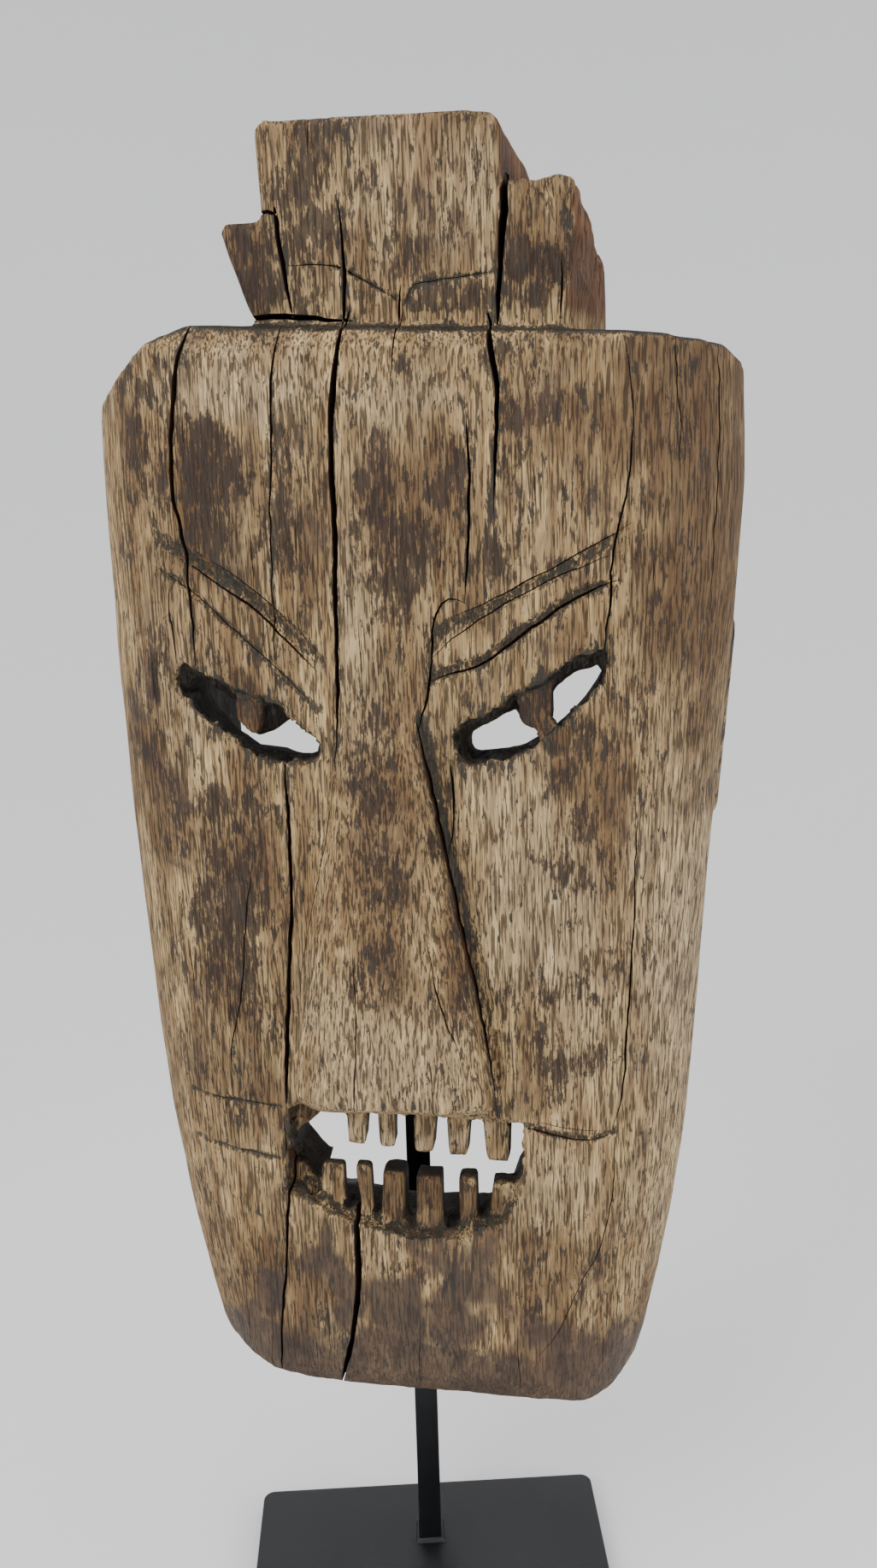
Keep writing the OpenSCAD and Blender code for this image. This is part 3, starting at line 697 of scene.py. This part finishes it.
def noise_at(tree, vector, scale, detail=2.0, rough=0.5, stretch=(1, 1, 1), warp=0.0):
    """Noise in object space, with its cells stretched by scaling the coordinates."""
    place = add(tree, "ShaderNodeMapping")
    place.inputs["Scale"].default_value = stretch
    wire(tree, vector, place.inputs["Vector"])
    node = add(tree, "ShaderNodeTexNoise", noise_dimensions="3D")
    wire(tree, place.outputs["Vector"], node.inputs["Vector"])
    node.inputs["Scale"].default_value = scale
    node.inputs["Detail"].default_value = detail
    node.inputs["Roughness"].default_value = rough
    node.inputs["Distortion"].default_value = warp
    return node.outputs["Fac"]


def group_shell(name, inputs, outputs):
    """An empty node group with the given inputs and float outputs, and its two end nodes."""
    tree = bpy.data.node_groups.new(name, "ShaderNodeTree")
    for title, kind, value in inputs:
        socket = tree.interface.new_socket(name=title, in_out="INPUT", socket_type=kind)
        if value is not None:
            socket.default_value = value
    for title in outputs:
        tree.interface.new_socket(name=title, in_out="OUTPUT", socket_type="NodeSocketFloat")
    return tree, add(tree, "NodeGroupInput"), add(tree, "NodeGroupOutput")


def grain_group():
    """Upright wood grain: broad bands, fine fibres, dark pores and the height they make."""
    tree, start, end = group_shell("Wood Grain", [("Vector", "NodeSocketVector", None)],
                                   ["Bands", "Fibres", "Pores", "Height"])
    at = start.outputs["Vector"]
    bands = noise_at(tree, at, 230, 4, 0.6, (1, 1, 0.09), 0.4)
    fibres = noise_at(tree, at, 1200, 3, 0.7, (1, 1, 0.06), 0.3)
    lines = noise_at(tree, at, 1700, 2, 0.55, (1, 1, 0.07), 0.3)
    pores = soft_step(tree, lines, 0.51, 0.60)
    wire(tree, soft_step(tree, bands, 0.32, 0.66), end.inputs["Bands"])
    wire(tree, soft_step(tree, fibres, 0.36, 0.64), end.inputs["Fibres"])
    wire(tree, pores, end.inputs["Pores"])
    height = maths(tree, "SUBTRACT", scaled(tree, fibres, 1.4), scaled(tree, pores, 0.7))
    wire(tree, height, end.inputs["Height"])
    return tree


def speckle_group():
    """Turns a soft mask into a worn patch, broken up by upright flecks where the finish has gone."""
    sockets = [("Vector", "NodeSocketVector", None), ("Mask", "NodeSocketFloat", 0.0)]
    tree, start, end = group_shell("Worn Edge", sockets, ["Patch"])
    at = start.outputs["Vector"]
    islands = noise_at(tree, at, 250, 5, 0.72, (1, 1, 0.42), 0.5)
    flecks = noise_at(tree, at, 1150, 3, 0.7, (1, 1, 0.2), 0.2)
    ragged = maths(tree, "ADD", scaled(tree, islands, 0.55), scaled(tree, flecks, 0.55))
    drive = maths(tree, "ADD", scaled(tree, start.outputs["Mask"], 0.16), ragged)
    wire(tree, soft_step(tree, drive, 0.625, 0.675), end.inputs["Patch"])
    return tree


def mottle_group():
    """Fine mottling that any finish can use."""
    sockets = [("Vector", "NodeSocketVector", None), ("Scale", "NodeSocketFloat", 300.0)]
    tree, start, end = group_shell("Fine Mottle", sockets, ["Mottle"])
    node = add(tree, "ShaderNodeTexNoise")
    wire(tree, start.outputs["Vector"], node.inputs["Vector"])
    wire(tree, start.outputs["Scale"], node.inputs["Scale"])
    node.inputs["Detail"].default_value = 5
    node.inputs["Roughness"].default_value = 0.65
    wire(tree, soft_step(tree, node.outputs["Fac"], 0.3, 0.7), end.inputs["Mottle"])
    return tree


GRAIN = grain_group()
WORN_EDGE = speckle_group()
MOTTLE = mottle_group()


def use_group(tree, group, at, **values):
    """Places a shared node group in a material, with that material's values."""
    node = add(tree, "ShaderNodeGroup", node_tree=group)
    wire(tree, at, node.inputs["Vector"])
    for key, value in values.items():
        feed(tree, node.inputs[key], value)
    return node


def blank_material(name):
    """A material with only its shader, and its object coordinates."""
    material = bpy.data.materials.new(name)
    material.use_nodes = True
    tree = material.node_tree
    shader = next(n for n in tree.nodes if n.type == "BSDF_PRINCIPLED")
    at = add(tree, "ShaderNodeTexCoord").outputs["Object"]
    return material, tree, shader, at


def roughen(tree, shader, value, low, high):
    """Lets the roughness run from low to high as the value runs from 0 to 1."""
    rough = add(tree, "ShaderNodeMapRange")
    wire(tree, value, rough.inputs["Value"])
    rough.inputs["To Min"].default_value = low
    rough.inputs["To Max"].default_value = high
    wire(tree, rough.outputs["Result"], shader.inputs["Roughness"])


def raise_surface(tree, shader, height, distance, strength=1.0):
    """Bumps the surface by a height, over the given distance in metres."""
    bump = add(tree, "ShaderNodeBump")
    bump.inputs["Distance"].default_value = distance
    bump.inputs["Strength"].default_value = strength
    wire(tree, height, bump.inputs["Height"])
    wire(tree, bump.outputs["Normal"], shader.inputs["Normal"])


def painted(tree, name):
    """A value that stain() has stored on the mesh."""
    return add(tree, "ShaderNodeAttribute", attribute_name=name).outputs["Fac"]


def weathered_wood():
    """Old wood: bleached grain, worn patina, brown finish, a filmed chin and soot in the cuts, with
    painted shade in the hollow, the slits, the mouth, the nose groove and the nose's right facet, and
    painted light on the right side.
    """
    material, tree, shader, at = blank_material("weathered_wood")
    grain = use_group(tree, GRAIN, at)
    worn = use_group(tree, WORN_EDGE, at, Mask=painted(tree, "dark"))
    soot_and_shade_patch = use_group(tree, WORN_EDGE, at, Mask=scaled(tree, painted(tree, "soot_and_shade"), 1.5))
    mottle = use_group(tree, MOTTLE, at, Scale=60.0)
    base = blend_colour(tree, grain.outputs["Bands"], TAN, STRAW)
    base = blend_colour(tree, scaled(tree, mottle.outputs["Mottle"], 0.35), base, TAN)
    base = blend_colour(tree, scaled(tree, painted(tree, "pale"), 0.50), base, BLEACHED_AND_LIT)
    # The brown finish is left in clouds, fewer on the pale places, which are bleached wood and, on the
    # right side, painted light. The brown patch on the nose's right facet is painted shade.
    finish = noise_at(tree, at, 42, 5, 0.62, (1, 1, 0.6), 0.5)
    finish = maths(tree, "ADD", finish, scaled(tree, painted(tree, "brown"), 0.30))
    finish = maths(tree, "SUBTRACT", finish, scaled(tree, painted(tree, "pale"), 0.16))
    finish = maths(tree, "ADD", finish, scaled(tree, painted(tree, "dark"), 0.08))
    finish = soft_step(tree, finish, 0.44, 0.80)
    base = blend_colour(tree, scaled(tree, finish, 0.82), base, OLD_FINISH_AND_SHADE)
    base = blend_colour(tree, scaled(tree, grain.outputs["Fibres"], 0.50), base, BARK)
    base = blend_colour(tree, scaled(tree, painted(tree, "russet"), 0.8), base, RUSSET)
    # The dark patches are worn patina, and painted shade on the nose's right facet.
    dark = scaled(tree, worn.outputs["Patch"], 0.84)
    base = blend_colour(tree, dark, base, PATINA_AND_SHADE)
    base = blend_colour(tree, scaled(tree, grain.outputs["Pores"], 0.78), base, PORE)
    # The chin's film lies over the grain and fills its pores.
    cloud = noise_at(tree, at, 75, 5, 0.6, (1, 1, 0.8), 0.6)
    skin = maths(tree, "ADD", painted(tree, "film"), scaled(tree, cloud, 2.4))
    skin = soft_step(tree, skin, 1.20, 1.95)
    tone = noise_at(tree, at, 120, 5, 0.65, (1, 1, 0.7), 0.8)
    glaze = blend_colour(tree, soft_step(tree, tone, 0.38, 0.66), FILM_DARK, FILM_LIGHT)
    base = blend_colour(tree, scaled(tree, skin, 0.86), base, glaze)
    # Painted shade: black in the hollow, deep in the eye slits and in the mouth.
    base = blend_colour(tree, scaled(tree, painted(tree, "inside_shade"), 0.95), base, HOLLOW_SHADE_BLACK)
    # Soot and char, with painted shade down the nose groove and at the foot of the comb.
    burnt_and_shaded = soft_step(tree, painted(tree, "soot_and_shade"), 0.86, 1.0)
    char_and_shade = blend_colour(tree, burnt_and_shaded, SMOKE_AND_SHADE, CHAR_AND_SHADE)
    base = blend_colour(tree, scaled(tree, soot_and_shade_patch.outputs["Patch"], 0.88), base, char_and_shade)
    wire(tree, base, shader.inputs["Base Color"])
    roughen(tree, shader, maths(tree, "MAXIMUM", dark, skin), 0.86, 0.60)
    shader.inputs["Specular IOR Level"].default_value = 0.28
    raise_surface(tree, shader, grain.outputs["Height"], 0.0006, 0.9)
    return material


def raw_wood():
    """The dusty brown wood in the walls of the cracks."""
    material, tree, shader, at = blank_material("crack_wood")
    grain = use_group(tree, GRAIN, at)
    dusty = use_group(tree, WORN_EDGE, at, Mask=0.2)
    base = blend_colour(tree, grain.outputs["Fibres"], CRACK_DARK, CRACK_LIGHT)
    base = blend_colour(tree, scaled(tree, dusty.outputs["Patch"], 0.6), base, CRACK_DUST)
    wire(tree, base, shader.inputs["Base Color"])
    shader.inputs["Roughness"].default_value = 0.95
    shader.inputs["Specular IOR Level"].default_value = 0.1
    raise_surface(tree, shader, grain.outputs["Height"], 0.0005)
    return material


def powder_coat():
    """Black powder coat with a fine orange peel and slightly uneven gloss."""
    material, tree, shader, at = blank_material("black_powder_coat")
    mottle = use_group(tree, MOTTLE, at, Scale=2200.0)
    wide = use_group(tree, MOTTLE, at, Scale=45.0)
    base = blend_colour(tree, scaled(tree, wide.outputs["Mottle"], 0.5),
                        (0.0045, 0.005, 0.0065), (0.007, 0.0075, 0.009))
    wire(tree, base, shader.inputs["Base Color"])
    roughen(tree, shader, wide.outputs["Mottle"], 0.30, 0.40)
    raise_surface(tree, shader, mottle.outputs["Mottle"], 0.00004, 0.6)
    return material


def turned_metal(name, colour, rough_low, rough_high):
    """Bare metal with fine turning rings round its upright axis and dull places."""
    material, tree, shader, at = blank_material(name)
    rings = noise_at(tree, at, 3500, 2, 0.5, (0.06, 0.06, 1))
    mottle = use_group(tree, MOTTLE, at, Scale=420.0)
    worn = tuple(c * 0.62 for c in colour)
    base = blend_colour(tree, scaled(tree, mottle.outputs["Mottle"], 0.6), colour, worn)
    wire(tree, base, shader.inputs["Base Color"])
    shader.inputs["Metallic"].default_value = 1.0
    roughen(tree, shader, rings, rough_low, rough_high)
    raise_surface(tree, shader, rings, 0.00003, 0.5)
    return material


def pressed_felt(name, colour):
    """Pressed felt: a fluffy nap over broad, slightly darker patches."""
    material, tree, shader, at = blank_material(name)
    fluff = use_group(tree, MOTTLE, at, Scale=1800.0)
    patches = use_group(tree, MOTTLE, at, Scale=120.0)
    light = tuple(min(1.0, c * 1.9 + 0.01) for c in colour)
    base = blend_colour(tree, fluff.outputs["Mottle"], colour, light)
    base = blend_colour(tree, scaled(tree, patches.outputs["Mottle"], 0.3), base, colour)
    wire(tree, base, shader.inputs["Base Color"])
    shader.inputs["Roughness"].default_value = 0.97
    shader.inputs["Sheen Weight"].default_value = 0.35
    shader.inputs["Sheen Roughness"].default_value = 0.5
    raise_surface(tree, shader, fluff.outputs["Mottle"], 0.0003)
    return material


# ---------------------------------------------------------------- stage, light and camera


def floor_paper():
    """Pale paper, a little greyer further out."""
    material, tree, shader, at = blank_material("floor_paper")
    away = add(tree, "ShaderNodeVectorMath", operation="LENGTH")
    wire(tree, at, away.inputs[0])
    far = soft_step(tree, away.outputs["Value"], 0.15, 0.5)
    base = blend_colour(tree, far, (0.80, 0.80, 0.80), (0.725, 0.725, 0.73))
    wire(tree, base, shader.inputs["Base Color"])
    shader.inputs["Roughness"].default_value = 0.9
    return material


def build_stage():
    """A pale floor that curves up into a wall all round, spun from one profile."""
    bm = bmesh.new()
    reach = 0.7
    curve = 1.9
    wall_top = 3.4
    profile = [(0.002, 0.0)] + [(reach * k / 6, 0.0) for k in range(1, 7)]
    for k in range(1, 13):
        a = math.radians(90 * k / 12)
        profile.append((reach + curve * math.sin(a), curve * (1 - math.cos(a))))
    profile.append((reach + curve, wall_top))
    verts = [bm.verts.new((r, 0, h)) for r, h in profile]
    edges = [bm.edges.new(pair) for pair in zip(verts, verts[1:])]
    bmesh.ops.spin(bm, geom=verts + edges, cent=(0, 0, 0), axis=(0, 0, 1), angle=math.tau,
                   steps=64, use_merge=True)
    bmesh.ops.recalc_face_normals(bm, faces=bm.faces)
    bmesh.ops.reverse_faces(bm, faces=bm.faces)
    floor = new_piece("floor", bm)
    floor.data.materials.append(floor_paper())
    floor.data.shade_smooth()


def soft_box(name, place, aim, size, power, colour=(1, 1, 1)):
    """A rectangular area light at a place, turned to its aim."""
    light = bpy.data.lights.new(name, "AREA")
    light.shape = "RECTANGLE"
    light.size, light.size_y = size
    light.energy = power
    light.color = colour
    lamp = bpy.data.objects.new(name, light)
    lamp.location = place
    lamp.rotation_euler = (Vector(aim) - Vector(place)).to_track_quat("-Z", "Y").to_euler()
    bpy.context.scene.collection.objects.link(lamp)


def build_lights():
    """A soft key from the left, a fill from the right, a wide top light and a dim sky."""
    middle = (0, 0, 0.28)
    warm = (1, 0.985, 0.96)
    soft_box("key", (-0.8, -1.1, 1.3), middle, (1.0, 0.9), 17.5, warm)
    soft_box("fill", (1.6, -0.5, 0.8), middle, (1.4, 1.2), 15, warm)
    soft_box("top", (0, 0.2, 2.6), middle, (2.6, 2.6), 40)
    world = bpy.data.worlds.new("studio")
    world.use_nodes = True
    sky = world.node_tree.nodes["Background"]
    sky.inputs["Color"].default_value = (0.93, 0.95, 1.0, 1)
    sky.inputs["Strength"].default_value = 0.75
    bpy.context.scene.world = world


def build_camera():
    """A hand-held camera level with the forehead, looking down at the face and slightly tilted."""
    turned_left = 9               # degrees
    looking_down = 13.8
    tilted = -1.49
    data = bpy.data.cameras.new("camera")
    data.sensor_width = 36
    data.lens = 29.44
    data.clip_start = 0.01
    camera = bpy.data.objects.new("camera", data)
    place = Matrix.Translation((0.0717, -0.3876, 0.3875))
    turn = Matrix.Rotation(math.radians(turned_left), 4, "Z")
    look = Matrix.Rotation(math.radians(90 - looking_down), 4, "X")
    tilt = Matrix.Rotation(math.radians(tilted), 4, "Z")
    camera.matrix_world = place @ turn @ look @ tilt
    bpy.context.scene.collection.objects.link(camera)
    bpy.context.scene.camera = camera


# ---------------------------------------------------------------- assembly

build_camera()
build_stage()
build_lights()

COAT = powder_coat()
STEEL = turned_metal("turned_steel", (0.56, 0.56, 0.57), 0.28, 0.45)
BRASS = turned_metal("dull_brass", (0.60, 0.42, 0.16), 0.35, 0.55)
FELT = pressed_felt("pressed_felt", (0.012, 0.012, 0.013))
BROWN_FELT = pressed_felt("brown_felt", (0.10, 0.055, 0.028))

carve_mask(weathered_wood(), raw_wood())
softened("base_plate", "stand", COAT, 0.6 * MM)
softened("base_felt", "stand", FELT, 0.3 * MM, 2)
softened("post", "stand", COAT, 0.5 * MM)
softened("foot_weld", "stand", COAT, 0.2 * MM)
softened("post_pin", "stand", STEEL, 0.5 * MM)
softened("thrust_washer", "washer", BRASS, 0.2 * MM)
softened("sleeve", "mask", COAT, 0.4 * MM)
softened("hanger_arm", "mask", COAT, 0.5 * MM)
softened("hanger_plate", "mask", COAT, 0.4 * MM)
softened("hanger_pad", "mask", BROWN_FELT, 0.15 * MM, 2)
softened("hanger_screws", "mask", STEEL, 0.3 * MM)
